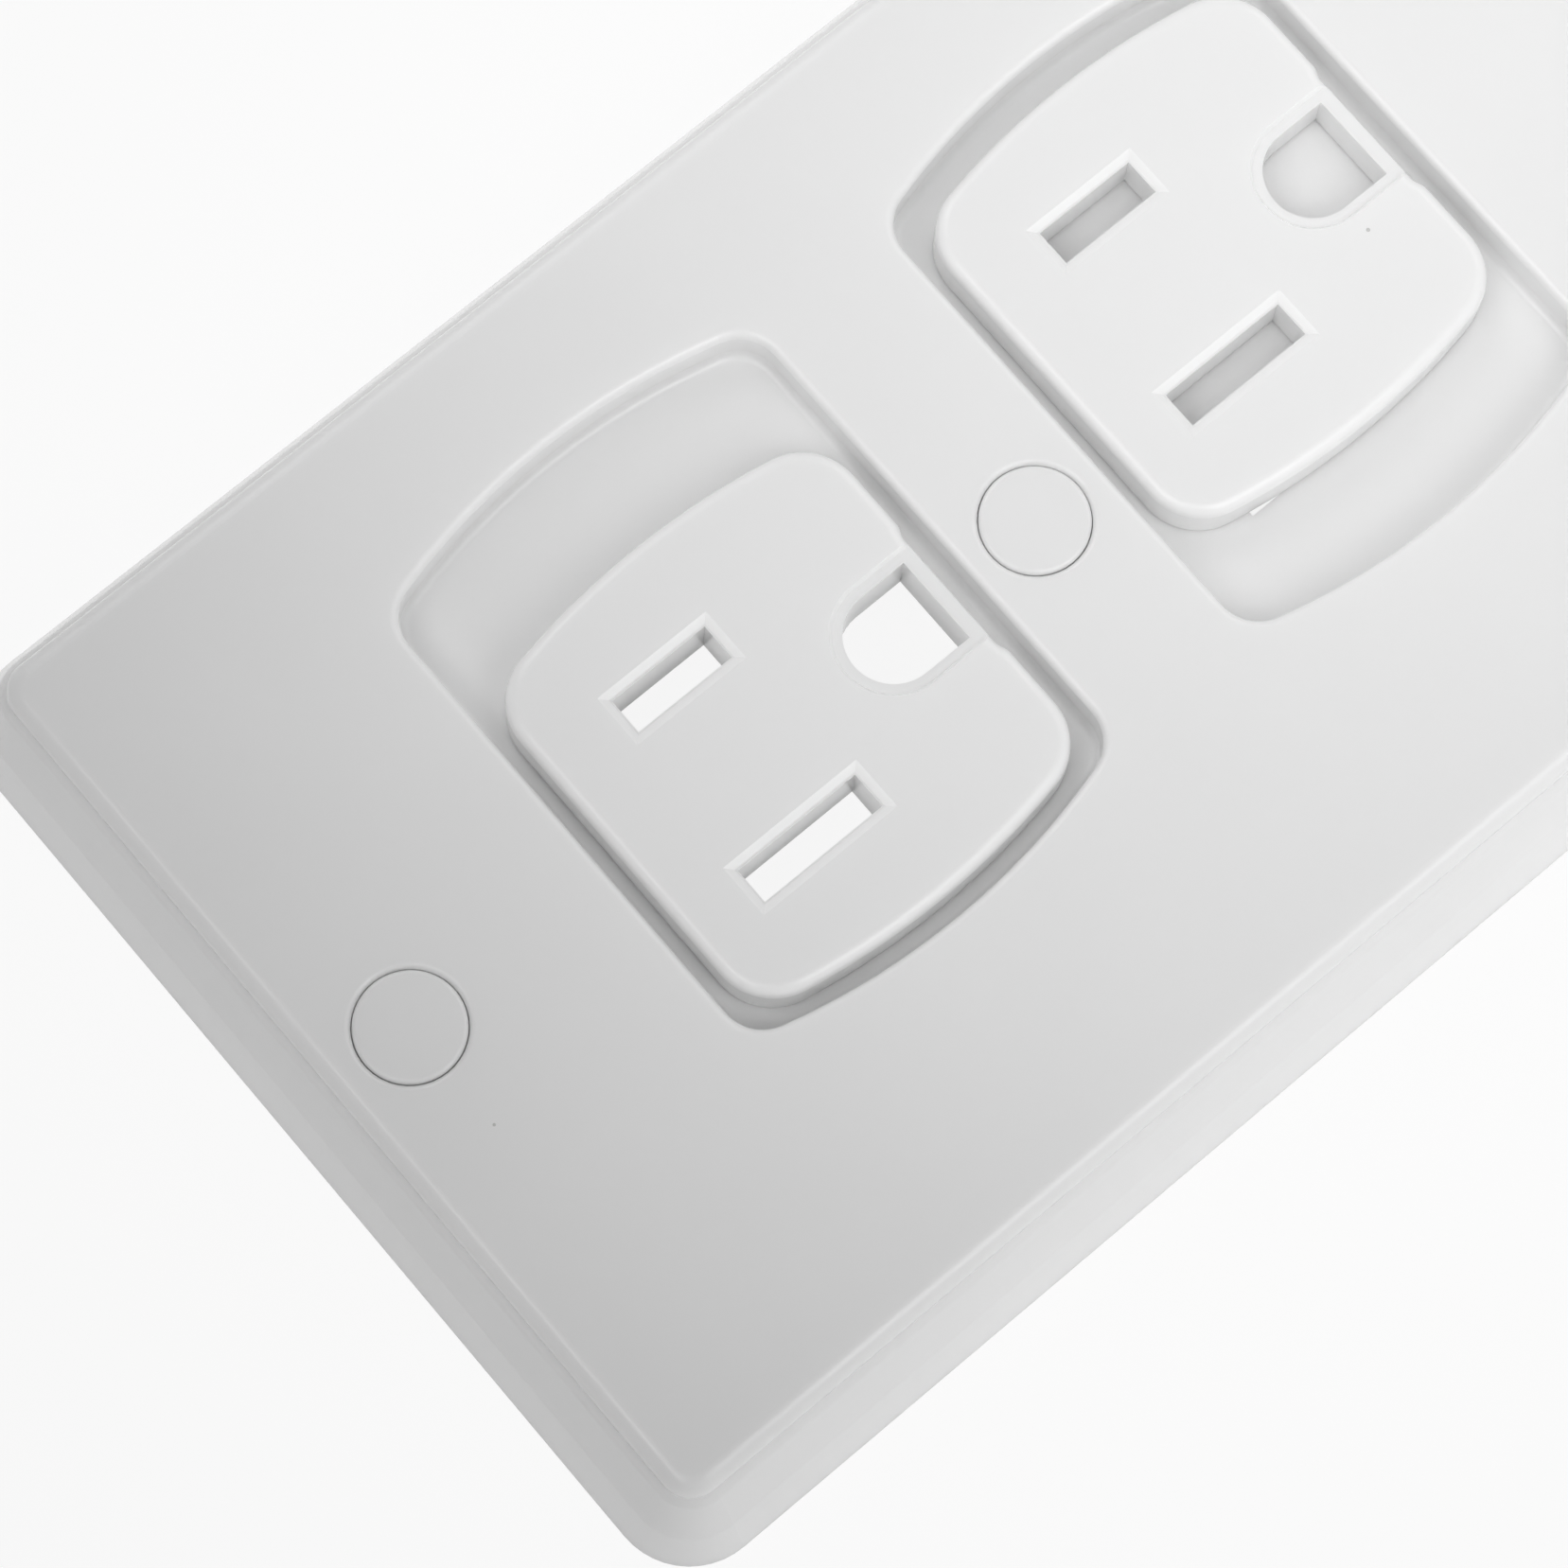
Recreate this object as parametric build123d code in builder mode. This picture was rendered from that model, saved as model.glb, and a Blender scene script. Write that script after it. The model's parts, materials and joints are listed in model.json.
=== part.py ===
from build123d import *
import math
import os

os.makedirs("parts", exist_ok=True)

# Duplex outlet safety cover with two self-closing sliders. It lies on its back: the wall is the plane
# z = 0, the face looks up (+Z), the long side runs along Y, and the ground holes are toward -Y.
# The origin is the centre of the back. All sizes are in millimetres.

# Wall plate
plate_width = 69.9
plate_length = 114.3
plate_height = 9.6
plate_corner = 5.0
face_step = 1.3
edge_round = 1.15
skirt_run = 2.9
skirt_wall = 1.8
skirt_bend_height = 4.0
skirt_bend_run = 1.05
shoulder_run = 0.45
shoulder_drop = 0.3
shoulder_round = 0.9
face_wall = 2.0

# Standard places behind the plate: sockets, device screws and plug pins
socket_pitch = 38.9
screw_pitch = 96.84
blade_pitch = 12.7
ground_to_blades = 11.9

# Well that each slider runs in: the strip of face between the two wells gives its height
well_land = 10.4
open_end_gap = 1.4
closed_end_gap = 2.3
well_bow_radius = 46.0
well_corner = 2.8
well_depth = 3.1
well_floor = 1.4
well_wall = 1.6
well_rim_round = 0.55
well_foot_round = 0.6

# Slider
slider_width = 28.2
slider_side_gap = 1.25
slider_bow_radius = 50.0
slider_corner = 4.0
slider_edge_round = 0.8
slider_proud = 0.2
slider_lift = 0.1
slider_skin = 2.0
slider_rim = 1.4
travel = 6.0
blades_above_centre = 3.7

# Openings for the plug, through slider and well floor
blade_slot_width = 2.5
neutral_slot_length = 9.1
live_slot_length = 7.2
slot_bevel_reach = 0.5
slot_bevel_depth = 0.22
slot_shelf = 0.12
ground_radius = 3.03
ground_bottom_margin = 1.37
recess_radius = 3.65
recess_depth = 0.35
recess_wall_lean = 30
notch_width = 8.6
notch_flare = 0.7
notch_depth = 0.3
notch_round = 0.9
floor_hole_clearance = 0.1

# Posts of the slider, which reach through the well floor to the retainer behind it
post_length = 3.4
upper_post_width = 3.0
lower_post_width = 2.6
post_edge_margin = 0.6
upper_post_x = 0.0
lower_post_x = -3.0
lower_post_y = -2.6
post_side_clearance = 0.15
stop_gap = 0.2
floor_running_gap = 0.15

# Retainer behind the well floor
retainer_thickness = 1.2
retainer_side_margin = 4.1
retainer_stem_width = 8.2
retainer_overhang = 0.4
spring_seat_thickness = 1.2

# Return springs, two for each slider
spring_wire = 0.4
spring_outer_diameter = 3.0
spring_turns = 6
spring_end_gap = 0.1
spring_top_room = 0.25
spring_pin_diameter = 1.6
spring_pin_length = 1.3
spring_room = 0.2
anchor_thickness = 1.4
anchor_clearance = 0.1
channel_wall = 1.0
lower_spring_y = -3.4

# Screws that hold the retainer to the posts
retainer_screw_diameter = 1.6
retainer_screw_length = 4.0
retainer_screw_head = 2.9
retainer_screw_head_height = 0.9
retainer_screw_slot = 0.4
screw_hole_clearance = 0.05

# Screw bosses and the caps that close them
boss_diameter = 9.6
boss_foot = 1.5
cap_diameter = 6.86
cap_clearance = 0.05
cap_depth = 2.0
cap_skin = 1.0
cap_wall = 0.8
cap_edge_round = 0.3
cap_hole_rim_round = 0.4
head_bore_diameter = 6.5
head_bore_depth = 1.3
screw_hole_diameter = 4.2

# Ribs on the back
rib_thickness = 1.2
rib_foot = 2.6

# How closely a face or an edge is matched to its level when it is picked
pick_tolerance = 0.01

# Levels and places that follow from the sizes above
face_z = plate_height
crease_z = face_z - face_step
shoulder_z = crease_z - shoulder_drop
cavity_top = face_z - face_wall
floor_top = face_z - well_depth
floor_under = floor_top - well_floor
slider_bottom = floor_top + slider_lift
slider_top = face_z + slider_proud
post_end = floor_under - floor_running_gap
retainer_under = post_end - retainer_thickness
well_height = socket_pitch - well_land
slider_height = well_height - 2 * slider_side_gap
well_width = slider_width + travel + open_end_gap + closed_end_gap
well_offset = (travel + closed_end_gap - open_end_gap) / 2
ground_y = blades_above_centre - ground_to_blades
ground_drop = slider_height / 2 + ground_y - ground_bottom_margin
upper_post_y = slider_height / 2 - post_edge_margin - upper_post_width / 2
upper_spring_y = upper_post_y
retainer_bar_length = slider_width - 2 * retainer_side_margin
spring_radius = spring_outer_diameter / 2
spring_half_room = spring_radius + spring_room
spring_axis_height = floor_under - spring_top_room - spring_radius
spring_bottom = spring_axis_height - spring_radius
seat_face_x = -retainer_bar_length / 2
anchor_face_x = well_offset - well_width / 2 - well_wall - anchor_clearance

# The skirt from the wall up to the crease below the face, as pairs of level and inset from the edge
skirt_profile = (
    (0.0, 0.0),
    (skirt_bend_height, skirt_bend_run),
    (shoulder_z, skirt_run - shoulder_run),
    (crease_z, skirt_run),
)

# The upper socket is stored with its slider pushed open, the lower one with its slider closed.
sockets = (
    ("upper", socket_pitch / 2, 0.0),
    ("lower", -socket_pitch / 2, travel),
)
blade_slots = (
    (-blade_pitch / 2, neutral_slot_length),
    (blade_pitch / 2, live_slot_length),
)
posts = (
    (upper_post_x, upper_post_y, upper_post_width),
    (lower_post_x, lower_post_y, lower_post_width),
)
spring_rows = (("upper", upper_spring_y), ("lower", lower_spring_y))


def level(z, x=0.0, y=0.0):
    """A horizontal work plane at height z, with its origin over x, y."""
    return Plane(origin=(x, y, z))


def lean(run, rise):
    """Angle from upright, in degrees, of a wall that moves in by run over that rise."""
    return math.degrees(math.atan(run / rise))


def plate_outline(inset):
    """The plate's outline, moved inward by the inset."""
    with BuildSketch(mode=Mode.PRIVATE) as outline:
        RectangleRounded(plate_width - 2 * inset, plate_length - 2 * inset, plate_corner - inset)
    return outline.sketch


def barrel(width, height, bow_radius, corner):
    """Outline with a straight top and bottom and two bowed sides."""
    half_width = width / 2
    half_height = height / 2
    bow = bow_radius - math.sqrt(bow_radius**2 - half_height**2)
    with BuildSketch(mode=Mode.PRIVATE) as outline:
        with BuildLine():
            right = ThreePointArc(
                (half_width - bow, -half_height), (half_width, 0), (half_width - bow, half_height)
            )
            top = Line(right @ 1, (bow - half_width, half_height))
            left = ThreePointArc(top @ 1, (-half_width, 0), (bow - half_width, -half_height))
            Line(left @ 1, right @ 0)
        make_face()
        fillet(outline.vertices(), radius=corner)
    return outline.sketch


def ground_outline(radius, drop):
    """Round above and straight below: the outline of a ground hole, from the centre of its round."""
    with BuildSketch(mode=Mode.PRIVATE) as outline:
        Circle(radius)
        with Locations((0, -drop / 2)):
            Rectangle(2 * radius, drop)
    return outline.sketch


def notched_slider_outline():
    """The slider's outline, with the shallow flared notch below the ground hole."""
    half_height = slider_height / 2
    half_notch = notch_width / 2
    with BuildSketch(mode=Mode.PRIVATE) as outline:
        add(barrel(slider_width, slider_height, slider_bow_radius, slider_corner))
        with BuildLine():
            Polyline(
                (-half_notch - notch_flare, -half_height),
                (-half_notch, notch_depth - half_height),
                (half_notch, notch_depth - half_height),
                (half_notch + notch_flare, -half_height),
                close=True,
            )
        make_face(mode=Mode.SUBTRACT)
        half_reach = half_notch + notch_flare + pick_tolerance
        low_corners = outline.vertices().filter_by_position(
            Axis.Y, -half_height - pick_tolerance, notch_depth - half_height + pick_tolerance
        )
        fillet(low_corners.filter_by_position(Axis.X, -half_reach, half_reach), radius=notch_round)
    return outline.sketch


with BuildPart() as wall_plate:
    # Skirt up to the crease below the face, with its shoulder rounded
    for (low_z, low_inset), (high_z, high_inset) in zip(skirt_profile, skirt_profile[1:]):
        with BuildSketch(level(low_z)):
            add(plate_outline(low_inset))
        extrude(amount=high_z - low_z, taper=lean(high_inset - low_inset, high_z - low_z))
    shoulder_edges = wall_plate.edges().filter_by_position(
        Axis.Z, shoulder_z - pick_tolerance, shoulder_z + pick_tolerance
    )
    fillet(shoulder_edges, radius=shoulder_round)
    # Raised face with its rounded edge
    with BuildSketch(level(crease_z)):
        add(plate_outline(skirt_run))
    extrude(amount=face_step)
    fillet(wall_plate.faces().sort_by(Axis.Z)[-1].edges(), radius=edge_round)
    # Hollow back, which follows the skirt at one wall's thickness
    for (low_z, low_inset), (high_z, high_inset) in zip(skirt_profile[:2], skirt_profile[1:3]):
        with BuildSketch(level(low_z)):
            add(plate_outline(low_inset + skirt_wall))
        extrude(
            amount=min(high_z, cavity_top) - low_z,
            taper=lean(high_inset - low_inset, high_z - low_z),
            mode=Mode.SUBTRACT,
        )
    # Tubs that hang below the face and carry the wells
    for _, socket_y, _ in sockets:
        with BuildSketch(level(floor_under, well_offset, socket_y)):
            add(
                barrel(
                    well_width + 2 * well_wall,
                    well_height + 2 * well_wall,
                    well_bow_radius + well_wall,
                    well_corner + well_wall,
                )
            )
        extrude(amount=cavity_top - floor_under)
    # Ribs across the back, in line with the screws
    with BuildSketch(level(rib_foot)):
        for rib_y in (-screw_pitch / 2, 0, screw_pitch / 2):
            with Locations((0, rib_y)):
                Rectangle(plate_width - 2 * skirt_run - skirt_wall, rib_thickness)
        for side in (-1, 1):
            rib_length = (plate_length - screw_pitch) / 2 - skirt_run
            with Locations((0, side * (screw_pitch / 2 + rib_length / 2))):
                Rectangle(rib_thickness, rib_length)
    extrude(amount=cavity_top - rib_foot)
    # Bosses for the device screws
    with BuildSketch(level(boss_foot)):
        with GridLocations(0, screw_pitch / 2, 1, 3):
            Circle(boss_diameter / 2)
    extrude(amount=cavity_top - boss_foot)
    # Wells
    for _, socket_y, _ in sockets:
        with BuildSketch(level(floor_top, well_offset, socket_y)):
            add(barrel(well_width, well_height, well_bow_radius, well_corner))
        extrude(amount=well_depth, mode=Mode.SUBTRACT)
    well_rims = wall_plate.faces().filter_by(Axis.Z).group_by(Axis.Z)[-1].face().inner_wires().edges()
    fillet(well_rims, radius=well_rim_round)
    well_floors = wall_plate.faces().filter_by(Axis.Z).filter_by_position(
        Axis.Z, floor_top - pick_tolerance, floor_top + pick_tolerance
    )
    well_feet = [edge for face in well_floors for edge in face.outer_wire().edges()]
    fillet(well_feet, radius=well_foot_round)
    # Plug openings and guide slots through each well floor
    for _, socket_y, _ in sockets:
        with BuildSketch(level(floor_under, 0, socket_y)):
            for slot_x, slot_length in blade_slots:
                with Locations((slot_x, blades_above_centre)):
                    Rectangle(
                        blade_slot_width + 2 * floor_hole_clearance,
                        slot_length + 2 * floor_hole_clearance,
                    )
            with Locations((0, ground_y)):
                add(ground_outline(ground_radius + floor_hole_clearance, ground_drop + floor_hole_clearance))
            for post_x, post_y, post_width in posts:
                with Locations((post_x + travel / 2, post_y)):
                    Rectangle(
                        post_length + travel + 2 * stop_gap, post_width + 2 * post_side_clearance
                    )
        extrude(amount=well_floor, mode=Mode.SUBTRACT)
    # Anchors and channels of the return springs
    for _, socket_y, _ in sockets:
        for _, spring_y in spring_rows:
            row_y = socket_y + spring_y
            channel_half = spring_half_room + spring_room
            with BuildSketch(level(spring_bottom)):
                with Locations((anchor_face_x - anchor_thickness / 2, row_y)):
                    Rectangle(anchor_thickness, 2 * (channel_half + channel_wall))
            extrude(amount=cavity_top - spring_bottom)
            channel_length = seat_face_x - anchor_face_x + spring_seat_thickness
            with BuildSketch(level(spring_bottom)):
                for side in (-1, 1):
                    with Locations(
                        (
                            anchor_face_x + channel_length / 2,
                            row_y + side * (channel_half + channel_wall / 2),
                        )
                    ):
                        Rectangle(channel_length, channel_wall)
            extrude(amount=floor_under - spring_bottom)
            with BuildSketch(Plane(origin=(anchor_face_x, row_y, spring_axis_height), z_dir=(1, 0, 0))):
                Circle(spring_pin_diameter / 2)
            extrude(amount=spring_pin_length)
    # Recess for each cap, bore for the screw's head, and hole for its shank
    with BuildSketch(level(face_z - cap_depth)):
        with GridLocations(0, screw_pitch / 2, 1, 3):
            Circle(cap_diameter / 2 + cap_clearance)
    extrude(amount=cap_depth, mode=Mode.SUBTRACT)
    cap_rims = [
        edge
        for edge in wall_plate.edges().filter_by(GeomType.CIRCLE)
        if abs(edge.center().Z - face_z) < pick_tolerance and edge.radius < cap_diameter
    ]
    fillet(cap_rims, radius=cap_hole_rim_round)
    with BuildSketch(level(face_z - cap_depth - head_bore_depth)):
        with GridLocations(0, screw_pitch / 2, 1, 3):
            Circle(head_bore_diameter / 2)
    extrude(amount=head_bore_depth, mode=Mode.SUBTRACT)
    with BuildSketch(level(boss_foot)):
        with GridLocations(0, screw_pitch / 2, 1, 3):
            Circle(screw_hole_diameter / 2)
    extrude(amount=face_z - boss_foot, mode=Mode.SUBTRACT)

wall_plate.part.label = "wall_plate"
export_step(wall_plate.part, "parts/wall_plate.step")


# Caps: a skin with a rounded edge and a short skirt that is pressed into the recess
for cap_name, cap_y in (("upper", screw_pitch / 2), ("centre", 0), ("lower", -screw_pitch / 2)):
    with BuildPart() as screw_cap:
        with BuildSketch(level(face_z - cap_depth, 0, cap_y)):
            Circle(cap_diameter / 2)
        extrude(amount=cap_depth)
        fillet(screw_cap.edges().group_by(Axis.Z)[-1], radius=cap_edge_round)
        with BuildSketch(level(face_z - cap_depth, 0, cap_y)):
            Circle(cap_diameter / 2 - cap_wall)
        extrude(amount=cap_depth - cap_skin, mode=Mode.SUBTRACT)
    screw_cap.part.label = f"{cap_name}_screw_cap"
    export_step(screw_cap.part, f"parts/{cap_name}_screw_cap.step")


for socket_name, socket_y, slide_x in sockets:
    with BuildPart() as slider:
        with BuildSketch(level(slider_bottom, slide_x, socket_y)):
            add(notched_slider_outline())
        extrude(amount=slider_top - slider_bottom)
        fillet(slider.edges().group_by(Axis.Z)[-1], radius=slider_edge_round)
        # Hollow underside, which leaves a rim and a collar round each opening
        with BuildSketch(level(slider_bottom, slide_x, socket_y)):
            add(
                barrel(
                    slider_width - 2 * slider_rim,
                    slider_height - 2 * slider_rim - 2 * notch_depth,
                    slider_bow_radius - slider_rim,
                    slider_corner - slider_rim,
                )
            )
            for slot_x, slot_length in blade_slots:
                with Locations((slot_x, blades_above_centre)):
                    Rectangle(
                        blade_slot_width + 2 * slider_rim,
                        slot_length + 2 * slider_rim,
                        mode=Mode.SUBTRACT,
                    )
            with Locations((0, ground_y)):
                add(
                    ground_outline(ground_radius + slider_rim, slider_height / 2),
                    mode=Mode.SUBTRACT,
                )
        extrude(amount=slider_top - slider_skin - slider_bottom, mode=Mode.SUBTRACT)
        # Shallow recess round the ground hole, which runs out through the notch
        with BuildSketch(level(slider_top - recess_depth, slide_x, socket_y)):
            with Locations((0, ground_y)):
                add(ground_outline(recess_radius, slider_height / 2))
        extrude(amount=recess_depth, taper=-recess_wall_lean, mode=Mode.SUBTRACT)
        # Blade slots with a bevelled surround, and the ground hole
        for slot_x, slot_length in blade_slots:
            with BuildSketch(level(slider_bottom, slide_x + slot_x, socket_y + blades_above_centre)):
                Rectangle(blade_slot_width, slot_length)
            extrude(amount=slider_top - slider_bottom, mode=Mode.SUBTRACT)
            with BuildSketch(
                level(slider_top - slot_bevel_depth, slide_x + slot_x, socket_y + blades_above_centre)
            ):
                Rectangle(blade_slot_width + 2 * slot_shelf, slot_length + 2 * slot_shelf)
            extrude(
                amount=slot_bevel_depth,
                taper=-lean(slot_bevel_reach, slot_bevel_depth),
                mode=Mode.SUBTRACT,
            )
        with BuildSketch(level(slider_bottom, slide_x, socket_y + ground_y)):
            add(ground_outline(ground_radius, ground_drop))
        extrude(amount=slider_top - slider_bottom, mode=Mode.SUBTRACT)
        # Posts, with a hole up each for its screw
        for post_x, post_y, post_width in posts:
            with BuildSketch(level(post_end, slide_x + post_x, socket_y + post_y)):
                Rectangle(post_length, post_width)
            extrude(amount=slider_top - slider_skin - post_end)
            with BuildSketch(level(post_end, slide_x + post_x, socket_y + post_y)):
                Circle(retainer_screw_diameter / 2 + screw_hole_clearance)
            extrude(amount=retainer_screw_length - retainer_thickness, mode=Mode.SUBTRACT)
    slider.part.label = f"{socket_name}_slider"
    export_step(slider.part, f"parts/{socket_name}_slider.step")

    # Retainer: a bar behind the upper post, a stem down to the lower post, and two spring seats
    bar_height = 2 * spring_half_room
    stem_bottom = lower_post_y - lower_post_width / 2 - retainer_overhang
    with BuildPart() as retainer:
        with BuildSketch(level(retainer_under, slide_x, socket_y)):
            with Locations((0, upper_post_y)):
                Rectangle(retainer_bar_length, bar_height)
            with Locations((0, (upper_post_y + stem_bottom) / 2)):
                Rectangle(retainer_stem_width, upper_post_y - stem_bottom)
            arm_right = -retainer_stem_width / 2
            with Locations(((seat_face_x + arm_right) / 2, lower_spring_y)):
                Rectangle(arm_right - seat_face_x, 2 * spring_radius)
        extrude(amount=retainer_thickness)
        for _, spring_y in spring_rows:
            with BuildSketch(level(spring_bottom, slide_x, socket_y + spring_y)):
                with Locations((seat_face_x + spring_seat_thickness / 2, 0)):
                    Rectangle(spring_seat_thickness, 2 * spring_radius)
            extrude(amount=post_end - spring_bottom)
            seat_x = slide_x + seat_face_x
            with BuildSketch(
                Plane(origin=(seat_x, socket_y + spring_y, spring_axis_height), z_dir=(-1, 0, 0))
            ):
                Circle(spring_pin_diameter / 2)
            extrude(amount=spring_pin_length)
        with BuildSketch(level(retainer_under, slide_x, socket_y)):
            for post_x, post_y, _ in posts:
                with Locations((post_x, post_y)):
                    Circle(retainer_screw_diameter / 2 + screw_hole_clearance)
        extrude(amount=retainer_thickness, mode=Mode.SUBTRACT)
    retainer.part.label = f"{socket_name}_retainer"
    export_step(retainer.part, f"parts/{socket_name}_retainer.step")

    # Screws: a pan head with a driver slot and a plain shank
    with BuildPart() as retainer_screws:
        for post_x, post_y, _ in posts:
            screw_x = slide_x + post_x
            screw_y = socket_y + post_y
            head_under = retainer_under - retainer_screw_head_height
            with BuildSketch(level(head_under, screw_x, screw_y)):
                Circle(retainer_screw_head / 2)
                Rectangle(retainer_screw_slot, retainer_screw_head, mode=Mode.SUBTRACT)
            extrude(amount=retainer_screw_head_height / 2)
            with BuildSketch(level(retainer_under - retainer_screw_head_height / 2, screw_x, screw_y)):
                Circle(retainer_screw_head / 2)
            extrude(amount=retainer_screw_head_height / 2)
            with BuildSketch(level(retainer_under, screw_x, screw_y)):
                Circle(retainer_screw_diameter / 2)
            extrude(amount=retainer_screw_length - 2 * screw_hole_clearance)
    retainer_screws.part.label = f"{socket_name}_retainer_screws"
    export_step(retainer_screws.part, f"parts/{socket_name}_retainer_screws.step")

    # Return springs: pressed short behind the open slider, long behind the closed one
    for row_name, spring_y in spring_rows:
        coil_radius = spring_radius - spring_wire / 2
        coil_start = anchor_face_x + spring_end_gap + spring_wire / 2
        coil_end = slide_x + seat_face_x - spring_end_gap - spring_wire / 2
        with BuildPart() as spring:
            with BuildLine() as coil:
                Helix(
                    pitch=(coil_end - coil_start) / spring_turns,
                    height=coil_end - coil_start,
                    radius=coil_radius,
                    center=(coil_start, socket_y + spring_y, spring_axis_height),
                    direction=(1, 0, 0),
                )
            with BuildSketch(Plane(origin=coil.line @ 0, z_dir=coil.line % 0)):
                Circle(spring_wire / 2)
            sweep()
        spring.part.label = f"{socket_name}_slider_{row_name}_spring"
        export_step(spring.part, f"parts/{socket_name}_slider_{row_name}_spring.step")
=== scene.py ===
import json
import math

import bmesh
import bpy
from mathutils import Matrix, Vector


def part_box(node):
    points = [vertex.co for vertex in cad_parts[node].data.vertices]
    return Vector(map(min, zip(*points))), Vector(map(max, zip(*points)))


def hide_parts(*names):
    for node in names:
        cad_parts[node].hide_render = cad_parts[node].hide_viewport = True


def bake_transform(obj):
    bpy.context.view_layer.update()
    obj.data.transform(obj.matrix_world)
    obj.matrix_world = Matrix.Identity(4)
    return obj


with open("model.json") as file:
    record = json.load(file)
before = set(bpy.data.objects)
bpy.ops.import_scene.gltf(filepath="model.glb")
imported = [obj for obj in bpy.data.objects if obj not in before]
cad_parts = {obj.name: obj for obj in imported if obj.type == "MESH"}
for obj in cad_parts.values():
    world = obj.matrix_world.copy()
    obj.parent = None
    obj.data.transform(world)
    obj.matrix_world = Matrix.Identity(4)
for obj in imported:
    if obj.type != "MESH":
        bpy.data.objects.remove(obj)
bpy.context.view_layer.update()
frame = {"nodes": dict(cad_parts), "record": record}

scene = bpy.context.scene
mm = 0.001
full_turn = 2 * math.pi
white = (1, 1, 1, 1)

# Camera: at the photograph's angle and distance, aimed at a point on the face of the plate
view_azimuth = math.radians(-136.4)
view_elevation = math.radians(75.1)
view_roll = math.radians(6.3)
view_distance = 330.0 * mm
view_target = Vector((-2.85, 22.2, 9.6)) * mm
lens = 128.1
sensor_width = 36.0
nearest_seen = 0.01
farthest_seen = 20.0

# Lamps: soft, and aimed at the face beyond the lower well
lamp_aim = Vector((7, -40, 9.6)) * mm
lamp_distance = 0.20
lamp_size = 0.15
lamp_spread = math.radians(60)

# Each lamp: name, azimuth and elevation in degrees, and power
lamps = (
    ("left_lamp", -90, 51, 0.028),
    ("right_lamp", 90, 45, 0.018),
    ("foot_lamp", 15, 50, 0.009),
    ("head_lamp", 180, 55, 0.022),
)

# Surround: even light, and lobes of light along the horizon
even_strength = 0.12
horizon_narrowness = 4.0

# Each lobe: axis, way along it, and strength
horizon_lobes = (("X", 1.0, 1.8), ("X", -1.0, 2.7), ("Y", 1.0, 0.5), ("Y", -1.0, 1.4))

# Floor: a pale sheet, with a share of plain white where it is seen or mirrored
floor_width = 6
floor_drop = 0.02 * mm
floor_fibre_size = 40 * mm
floor_deep = (0.90, 0.90, 0.90)
floor_pale = (0.93, 0.93, 0.93)
floor_white_share = 0.9

# Noise fields mostly stay between these two values, so colours and numbers run from one to the other
field_low = 0.3
field_high = 0.7

# Plastics: the marks that moulding leaves, and how light soaks in
mottle_size = 18 * mm
haze_size = 6 * mm
ripple_size = 22 * mm
ripple_depth = 0.06 * mm
ripple_strength = 0.5
grain_size = 0.16 * mm
grain_strength = 0.25
speck_radius_in_cells = 0.012
speck_colour = (0.6, 0.6, 0.59, 1)
plastic_ior = 1.49
soak_share = 0.35
soak_depth = 1.2 * mm

# Each plastic: name, pale and deep colour, range of roughness, depth of grain, and width of a speck's cell
plastics = (
    ("plate_plastic", (0.885, 0.885, 0.885), (0.87, 0.87, 0.87), (0.21, 0.26), 0.010 * mm, 9 * mm),
    ("slider_plastic", (0.89, 0.89, 0.89), (0.88, 0.88, 0.88), (0.20, 0.25), 0.007 * mm, 11 * mm),
    ("cap_plastic", (0.885, 0.885, 0.885), (0.87, 0.87, 0.87), (0.21, 0.26), 0.009 * mm, 8 * mm),
    ("retainer_plastic", (0.86, 0.86, 0.85), (0.82, 0.82, 0.81), (0.48, 0.6), 0.016 * mm, 6 * mm),
)

# Steels: fine lines and cloudy plating
line_width = 0.08 * mm
line_stretch = 0.05
line_depth = 0.01 * mm
line_strength = 0.4
cloud_size = 0.9 * mm

# Each steel: name, pale and deep colour, range of roughness, and the axis that its lines run along
steels = (
    ("screw_steel", (0.66, 0.67, 0.69), (0.5, 0.51, 0.53), (0.24, 0.42), "Z"),
    ("spring_steel", (0.52, 0.53, 0.55), (0.38, 0.39, 0.41), (0.24, 0.38), "X"),
)

# Return springs: open turns, and closed ones at each end
coil_turns = 6
closed_turns = 1.2
wire_radius = 0.2 * mm
closed_pitch = 2.1 * wire_radius
steps_per_turn = 40
steps_round_wire = 12
all_turns = coil_turns + 2 * closed_turns
whole_angle = all_turns * full_turn
closed_angle = closed_turns * full_turn
closed_rise = closed_pitch / full_turn
closed_length = closed_angle * closed_rise


def new_material(name):
    """An empty node material and its node tree."""
    material = bpy.data.materials.new(name)
    material.use_nodes = True
    material.node_tree.nodes.clear()
    return material, material.node_tree


def show(tree, output_type, shader):
    """Link a shader to a new output of its tree."""
    output = tree.nodes.new(output_type)
    tree.links.new(shader, output.inputs["Surface"])


def place_in_metres(tree):
    """The socket that gives a point's place in its object, in metres."""
    return tree.nodes.new("ShaderNodeTexCoord").outputs["Object"]


def maths(tree, operation, first, second=None):
    """A maths node on one or two sockets or numbers."""
    node = tree.nodes.new("ShaderNodeMath")
    node.operation = operation
    for index, value in enumerate((first, second)):
        if isinstance(value, bpy.types.NodeSocket):
            tree.links.new(value, node.inputs[index])
        elif value is not None:
            node.inputs[index].default_value = value
    return node.outputs["Value"]


def noise(tree, place, size, detail):
    """A noise field with features of about that size, in metres."""
    field = tree.nodes.new("ShaderNodeTexNoise")
    field.inputs["Scale"].default_value = 1.0 / size
    field.inputs["Detail"].default_value = detail
    tree.links.new(place, field.inputs["Vector"])
    return field.outputs["Fac"]


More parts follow.
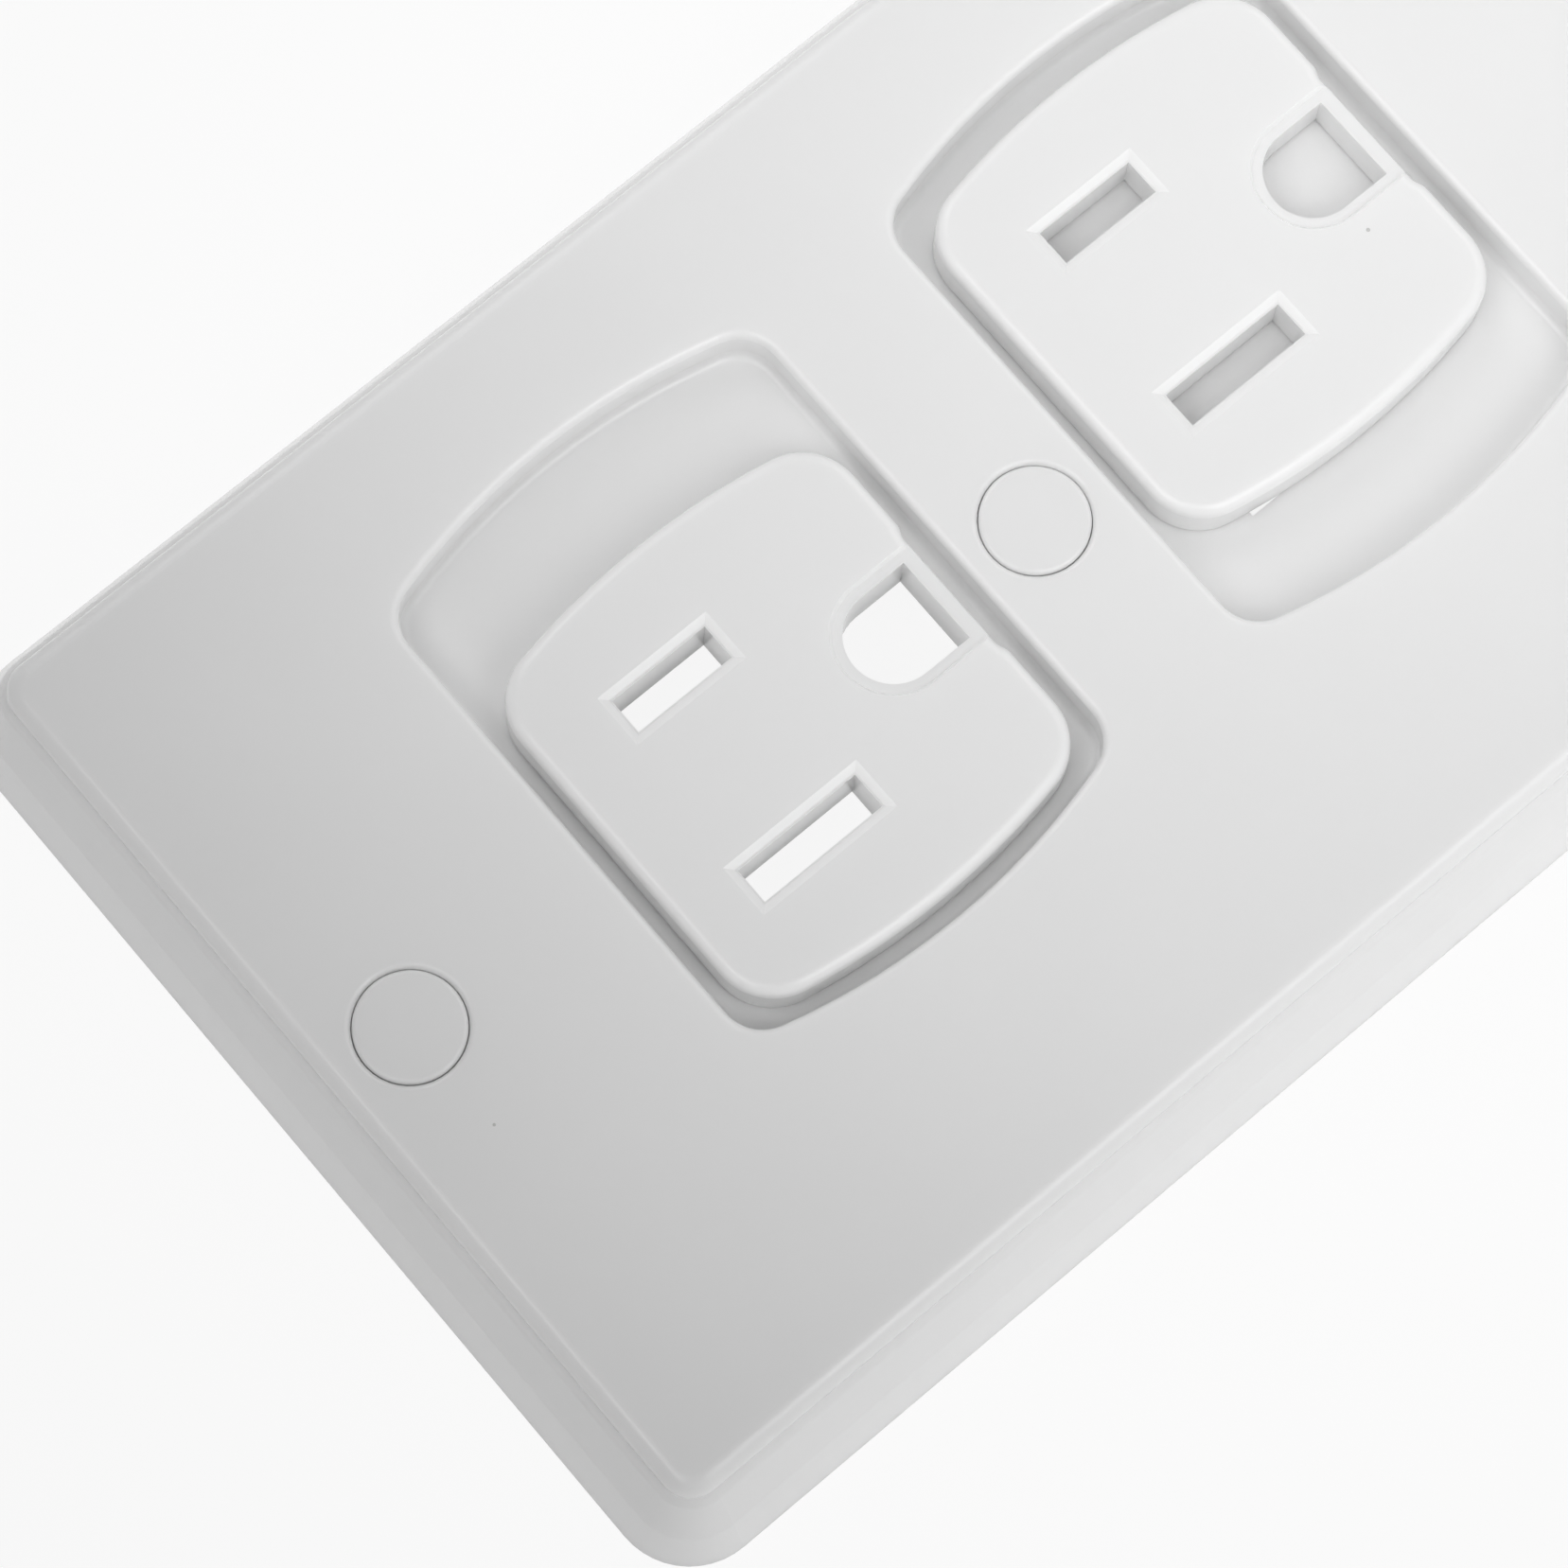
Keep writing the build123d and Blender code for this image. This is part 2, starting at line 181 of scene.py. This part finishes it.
def two_colours(tree, field, low, high):
    """A colour that runs from low to high with a field."""
    ramp = tree.nodes.new("ShaderNodeValToRGB")
    ramp.color_ramp.elements[0].position = field_low
    ramp.color_ramp.elements[0].color = (*low, 1)
    ramp.color_ramp.elements[1].position = field_high
    ramp.color_ramp.elements[1].color = (*high, 1)
    tree.links.new(field, ramp.inputs["Fac"])
    return ramp.outputs["Color"]


def between(tree, field, low, high):
    """A number that runs from low to high with a field."""
    spread = tree.nodes.new("ShaderNodeMapRange")
    spread.inputs["From Min"].default_value = field_low
    spread.inputs["From Max"].default_value = field_high
    spread.inputs["To Min"].default_value = low
    spread.inputs["To Max"].default_value = high
    tree.links.new(field, spread.inputs["Value"])
    return spread.outputs["Result"]


def bump(tree, height, depth, strength, below=None):
    """A bump of the given depth in metres, on top of another one if there is one."""
    relief = tree.nodes.new("ShaderNodeBump")
    relief.inputs["Strength"].default_value = strength
    relief.inputs["Distance"].default_value = depth
    tree.links.new(height, relief.inputs["Height"])
    if below is not None:
        tree.links.new(below, relief.inputs["Normal"])
    return relief.outputs["Normal"]


def moulded_plastic(name, pale, deep, sheen, grain_depth, speck_cell):
    """Injection-moulded plastic: faint mottling, a fine satin grain, slow ripples and a few tiny specks."""
    material, tree = new_material(name)
    shader = tree.nodes.new("ShaderNodeBsdfPrincipled")
    show(tree, "ShaderNodeOutputMaterial", shader.outputs["BSDF"])
    place = place_in_metres(tree)
    mottle = noise(tree, place, mottle_size, detail=1)
    colour = two_colours(tree, mottle, deep, pale)
    cells = tree.nodes.new("ShaderNodeTexVoronoi")
    cells.inputs["Scale"].default_value = 1.0 / speck_cell
    tree.links.new(place, cells.inputs["Vector"])
    speck = maths(tree, "LESS_THAN", cells.outputs["Distance"], speck_radius_in_cells)
    speckled = tree.nodes.new("ShaderNodeMix")
    speckled.data_type = "RGBA"
    tree.links.new(speck, speckled.inputs["Factor"])
    tree.links.new(colour, speckled.inputs["A"])
    speckled.inputs["B"].default_value = speck_colour
    tree.links.new(speckled.outputs["Result"], shader.inputs["Base Color"])
    haze = noise(tree, place, haze_size, detail=1)
    tree.links.new(between(tree, haze, *sheen), shader.inputs["Roughness"])
    ripple = bump(tree, noise(tree, place, ripple_size, detail=1), ripple_depth, ripple_strength)
    grain = bump(tree, noise(tree, place, grain_size, detail=2), grain_depth, grain_strength, ripple)
    tree.links.new(grain, shader.inputs["Normal"])
    shader.inputs["IOR"].default_value = plastic_ior
    shader.inputs["Subsurface Weight"].default_value = soak_share
    shader.inputs["Subsurface Radius"].default_value = (1.0, 1.0, 1.0)
    shader.inputs["Subsurface Scale"].default_value = soak_depth
    return material


def plated_steel(name, pale, deep, sheen, line_axis):
    """Plated or drawn steel: fine lines along one axis, cloudy plating and uneven gloss."""
    material, tree = new_material(name)
    shader = tree.nodes.new("ShaderNodeBsdfPrincipled")
    show(tree, "ShaderNodeOutputMaterial", shader.outputs["BSDF"])
    place = place_in_metres(tree)
    stretch = tree.nodes.new("ShaderNodeMapping")
    stretch.inputs["Scale"].default_value = [line_stretch if axis == line_axis else 1.0 for axis in "XYZ"]
    tree.links.new(place, stretch.inputs["Vector"])
    lines = noise(tree, stretch.outputs["Vector"], line_width, detail=3)
    clouds = noise(tree, place, cloud_size, detail=4)
    tree.links.new(two_colours(tree, clouds, deep, pale), shader.inputs["Base Color"])
    tree.links.new(between(tree, lines, *sheen), shader.inputs["Roughness"])
    tree.links.new(bump(tree, lines, line_depth, line_strength), shader.inputs["Normal"])
    shader.inputs["Metallic"].default_value = 1.0
    return material


material_of_slot = {}
for name, *looks in plastics:
    material_of_slot[name] = moulded_plastic(name, *looks)
for name, *looks in steels:
    material_of_slot[name] = plated_steel(name, *looks)


def finish_with(piece, slot_name):
    """Give a piece the material of a slot."""
    piece.data.materials.clear()
    piece.data.materials.append(material_of_slot[slot_name])


for subpart in frame["record"]["subparts"]:
    finish_with(frame["nodes"][subpart["node"]], subpart["material_slot"])


def coil_point(angle, start, end, centre, radius):
    """A point on a compression spring along X, with closed turns at both ends."""
    if angle < closed_angle:
        x = start + angle * closed_rise
    elif angle > whole_angle - closed_angle:
        x = end - (whole_angle - angle) * closed_rise
    else:
        share = (angle - closed_angle) / (whole_angle - 2 * closed_angle)
        x = start + closed_length + share * (end - start - 2 * closed_length)
    return Vector((x, centre.y + radius * math.cos(angle), centre.z + radius * math.sin(angle)))


def coil_spring(name, node):
    """A wound spring in the place of its plain solid. It stretches between the plate and its slider."""
    low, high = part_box(node)
    centre = (low + high) / 2
    radius = (high.z - low.z) / 2 - wire_radius
    start = low.x + wire_radius
    end = high.x - wire_radius
    steps = int(steps_per_turn * all_turns)
    mesh = bmesh.new()
    rings = []
    for step in range(steps + 1):
        angle = whole_angle * step / steps
        here = coil_point(angle, start, end, centre, radius)
        outward = Vector((0, math.cos(angle), math.sin(angle)))
        ring = []
        for k in range(steps_round_wire):
            turn = full_turn * k / steps_round_wire
            offset = outward * math.cos(turn) + Vector((1, 0, 0)) * math.sin(turn)
            ring.append(mesh.verts.new(here + offset * wire_radius))
        rings.append(ring)
    for first, second in zip(rings, rings[1:]):
        for k in range(steps_round_wire):
            after = (k + 1) % steps_round_wire
            mesh.faces.new((first[k], first[after], second[after], second[k]))
    mesh.faces.new(rings[0][::-1])
    mesh.faces.new(rings[-1])
    bmesh.ops.recalc_face_normals(mesh, faces=mesh.faces)
    data = bpy.data.meshes.new(name)
    mesh.to_mesh(data)
    mesh.free()
    data.polygons.foreach_set("use_smooth", [True] * len(data.polygons))
    spring = bpy.data.objects.new(name, data)
    scene.collection.objects.link(spring)
    finish_with(spring, "spring_steel")
    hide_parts(node)
    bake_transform(spring)


for socket in ("upper", "lower"):
    for row in ("upper", "lower"):
        coil_spring(f"{socket}_{row}_coil", f"{socket}_slider_{row}_spring")


def direction(azimuth, elevation):
    """Unit vector from the object toward a point at that azimuth and elevation."""
    level = math.cos(elevation)
    return Vector((math.sin(azimuth) * level, -math.cos(azimuth) * level, math.sin(elevation)))


def seen_or_mirrored(tree):
    """One for a ray from the camera or from a glossy surface, nought for any other ray."""
    ray = tree.nodes.new("ShaderNodeLightPath")
    return maths(tree, "MAXIMUM", ray.outputs["Is Camera Ray"], ray.outputs["Is Glossy Ray"])


def partly_white(tree, share, light_type, shader):
    """A mix of plain white light, in the given share, and another shader."""
    light = tree.nodes.new(light_type)
    light.inputs["Color"].default_value = white
    light.inputs["Strength"].default_value = 1.0
    mix = tree.nodes.new("ShaderNodeMixShader")
    tree.links.new(share, mix.inputs["Fac"])
    tree.links.new(shader, mix.inputs[1])
    tree.links.new(light.outputs[0], mix.inputs[2])
    return mix.outputs["Shader"]


# Floor: a pale sheet, nearly white where it is seen or mirrored, which still takes a faint shadow
bpy.ops.mesh.primitive_plane_add(size=floor_width, location=(0, 0, -floor_drop))
floor = bpy.context.object
floor.name = "floor"
floor_paper, floor_tree = new_material("floor_paper")
floor_fibre = noise(floor_tree, place_in_metres(floor_tree), floor_fibre_size, detail=3)
floor_diffuse = floor_tree.nodes.new("ShaderNodeBsdfDiffuse")
floor_colour = two_colours(floor_tree, floor_fibre, floor_deep, floor_pale)
floor_tree.links.new(floor_colour, floor_diffuse.inputs["Color"])
floor_share = maths(floor_tree, "MULTIPLY", seen_or_mirrored(floor_tree), floor_white_share)
floor_look = partly_white(floor_tree, floor_share, "ShaderNodeEmission", floor_diffuse.outputs["BSDF"])
show(floor_tree, "ShaderNodeOutputMaterial", floor_look)
floor.data.materials.append(floor_paper)

# Surround: light along the horizon, strongest on the -X side, and white where it is seen or mirrored
world = bpy.data.worlds.new("surround")
scene.world = world
world.use_nodes = True
world_tree = world.node_tree
world_tree.nodes.clear()
surround_axes = world_tree.nodes.new("ShaderNodeSeparateXYZ")
ray_direction = world_tree.nodes.new("ShaderNodeTexCoord").outputs["Generated"]
world_tree.links.new(ray_direction, surround_axes.inputs["Vector"])
lowness = maths(world_tree, "SUBTRACT", 1.0, maths(world_tree, "ABSOLUTE", surround_axes.outputs["Z"]))
horizon = maths(world_tree, "POWER", lowness, horizon_narrowness)
all_round = 0.0
for axis, way, strength in horizon_lobes:
    along_way = maths(world_tree, "MULTIPLY", surround_axes.outputs[axis], way)
    lobe = maths(world_tree, "MAXIMUM", along_way, 0.0)
    all_round = maths(world_tree, "ADD", all_round, maths(world_tree, "MULTIPLY", lobe, strength))
ring = maths(world_tree, "MULTIPLY", horizon, all_round)
surround = world_tree.nodes.new("ShaderNodeBackground")
surround.inputs["Color"].default_value = white
world_tree.links.new(maths(world_tree, "ADD", ring, even_strength), surround.inputs["Strength"])
surround_look = partly_white(
    world_tree, seen_or_mirrored(world_tree), "ShaderNodeBackground", surround.outputs["Background"]
)
show(world_tree, "ShaderNodeOutputWorld", surround_look)


def soft_lamp(name, azimuth, elevation, power):
    """A square soft lamp at that azimuth and elevation from its aim, which the camera doesn't see."""
    data = bpy.data.lights.new(name, "AREA")
    data.shape = "SQUARE"
    data.size = lamp_size
    data.energy = power
    data.spread = lamp_spread
    lamp = bpy.data.objects.new(name, data)
    toward_lamp = direction(math.radians(azimuth), math.radians(elevation))
    lamp.location = lamp_aim + toward_lamp * lamp_distance
    lamp.rotation_mode = "QUATERNION"
    lamp.rotation_quaternion = (-toward_lamp).to_track_quat("-Z", "Y")
    lamp.visible_camera = False
    scene.collection.objects.link(lamp)


for lamp in lamps:
    soft_lamp(*lamp)

# Camera
back = direction(view_azimuth, view_elevation)
level_right = (-back).cross(Vector((0, 0, 1))).normalized()
level_up = level_right.cross(-back)
right = level_right * math.cos(view_roll) + level_up * math.sin(view_roll)
up = back.cross(right)
camera_data = bpy.data.cameras.new("camera")
camera_data.sensor_width = sensor_width
camera_data.lens = lens
camera_data.clip_start = nearest_seen
camera_data.clip_end = farthest_seen
camera = bpy.data.objects.new("camera", camera_data)
camera.matrix_world = Matrix.Translation(view_target + back * view_distance) @ Matrix(
    (right, up, back)
).transposed().to_4x4()
scene.collection.objects.link(camera)
scene.camera = camera

scene.view_settings.view_transform = "Standard"
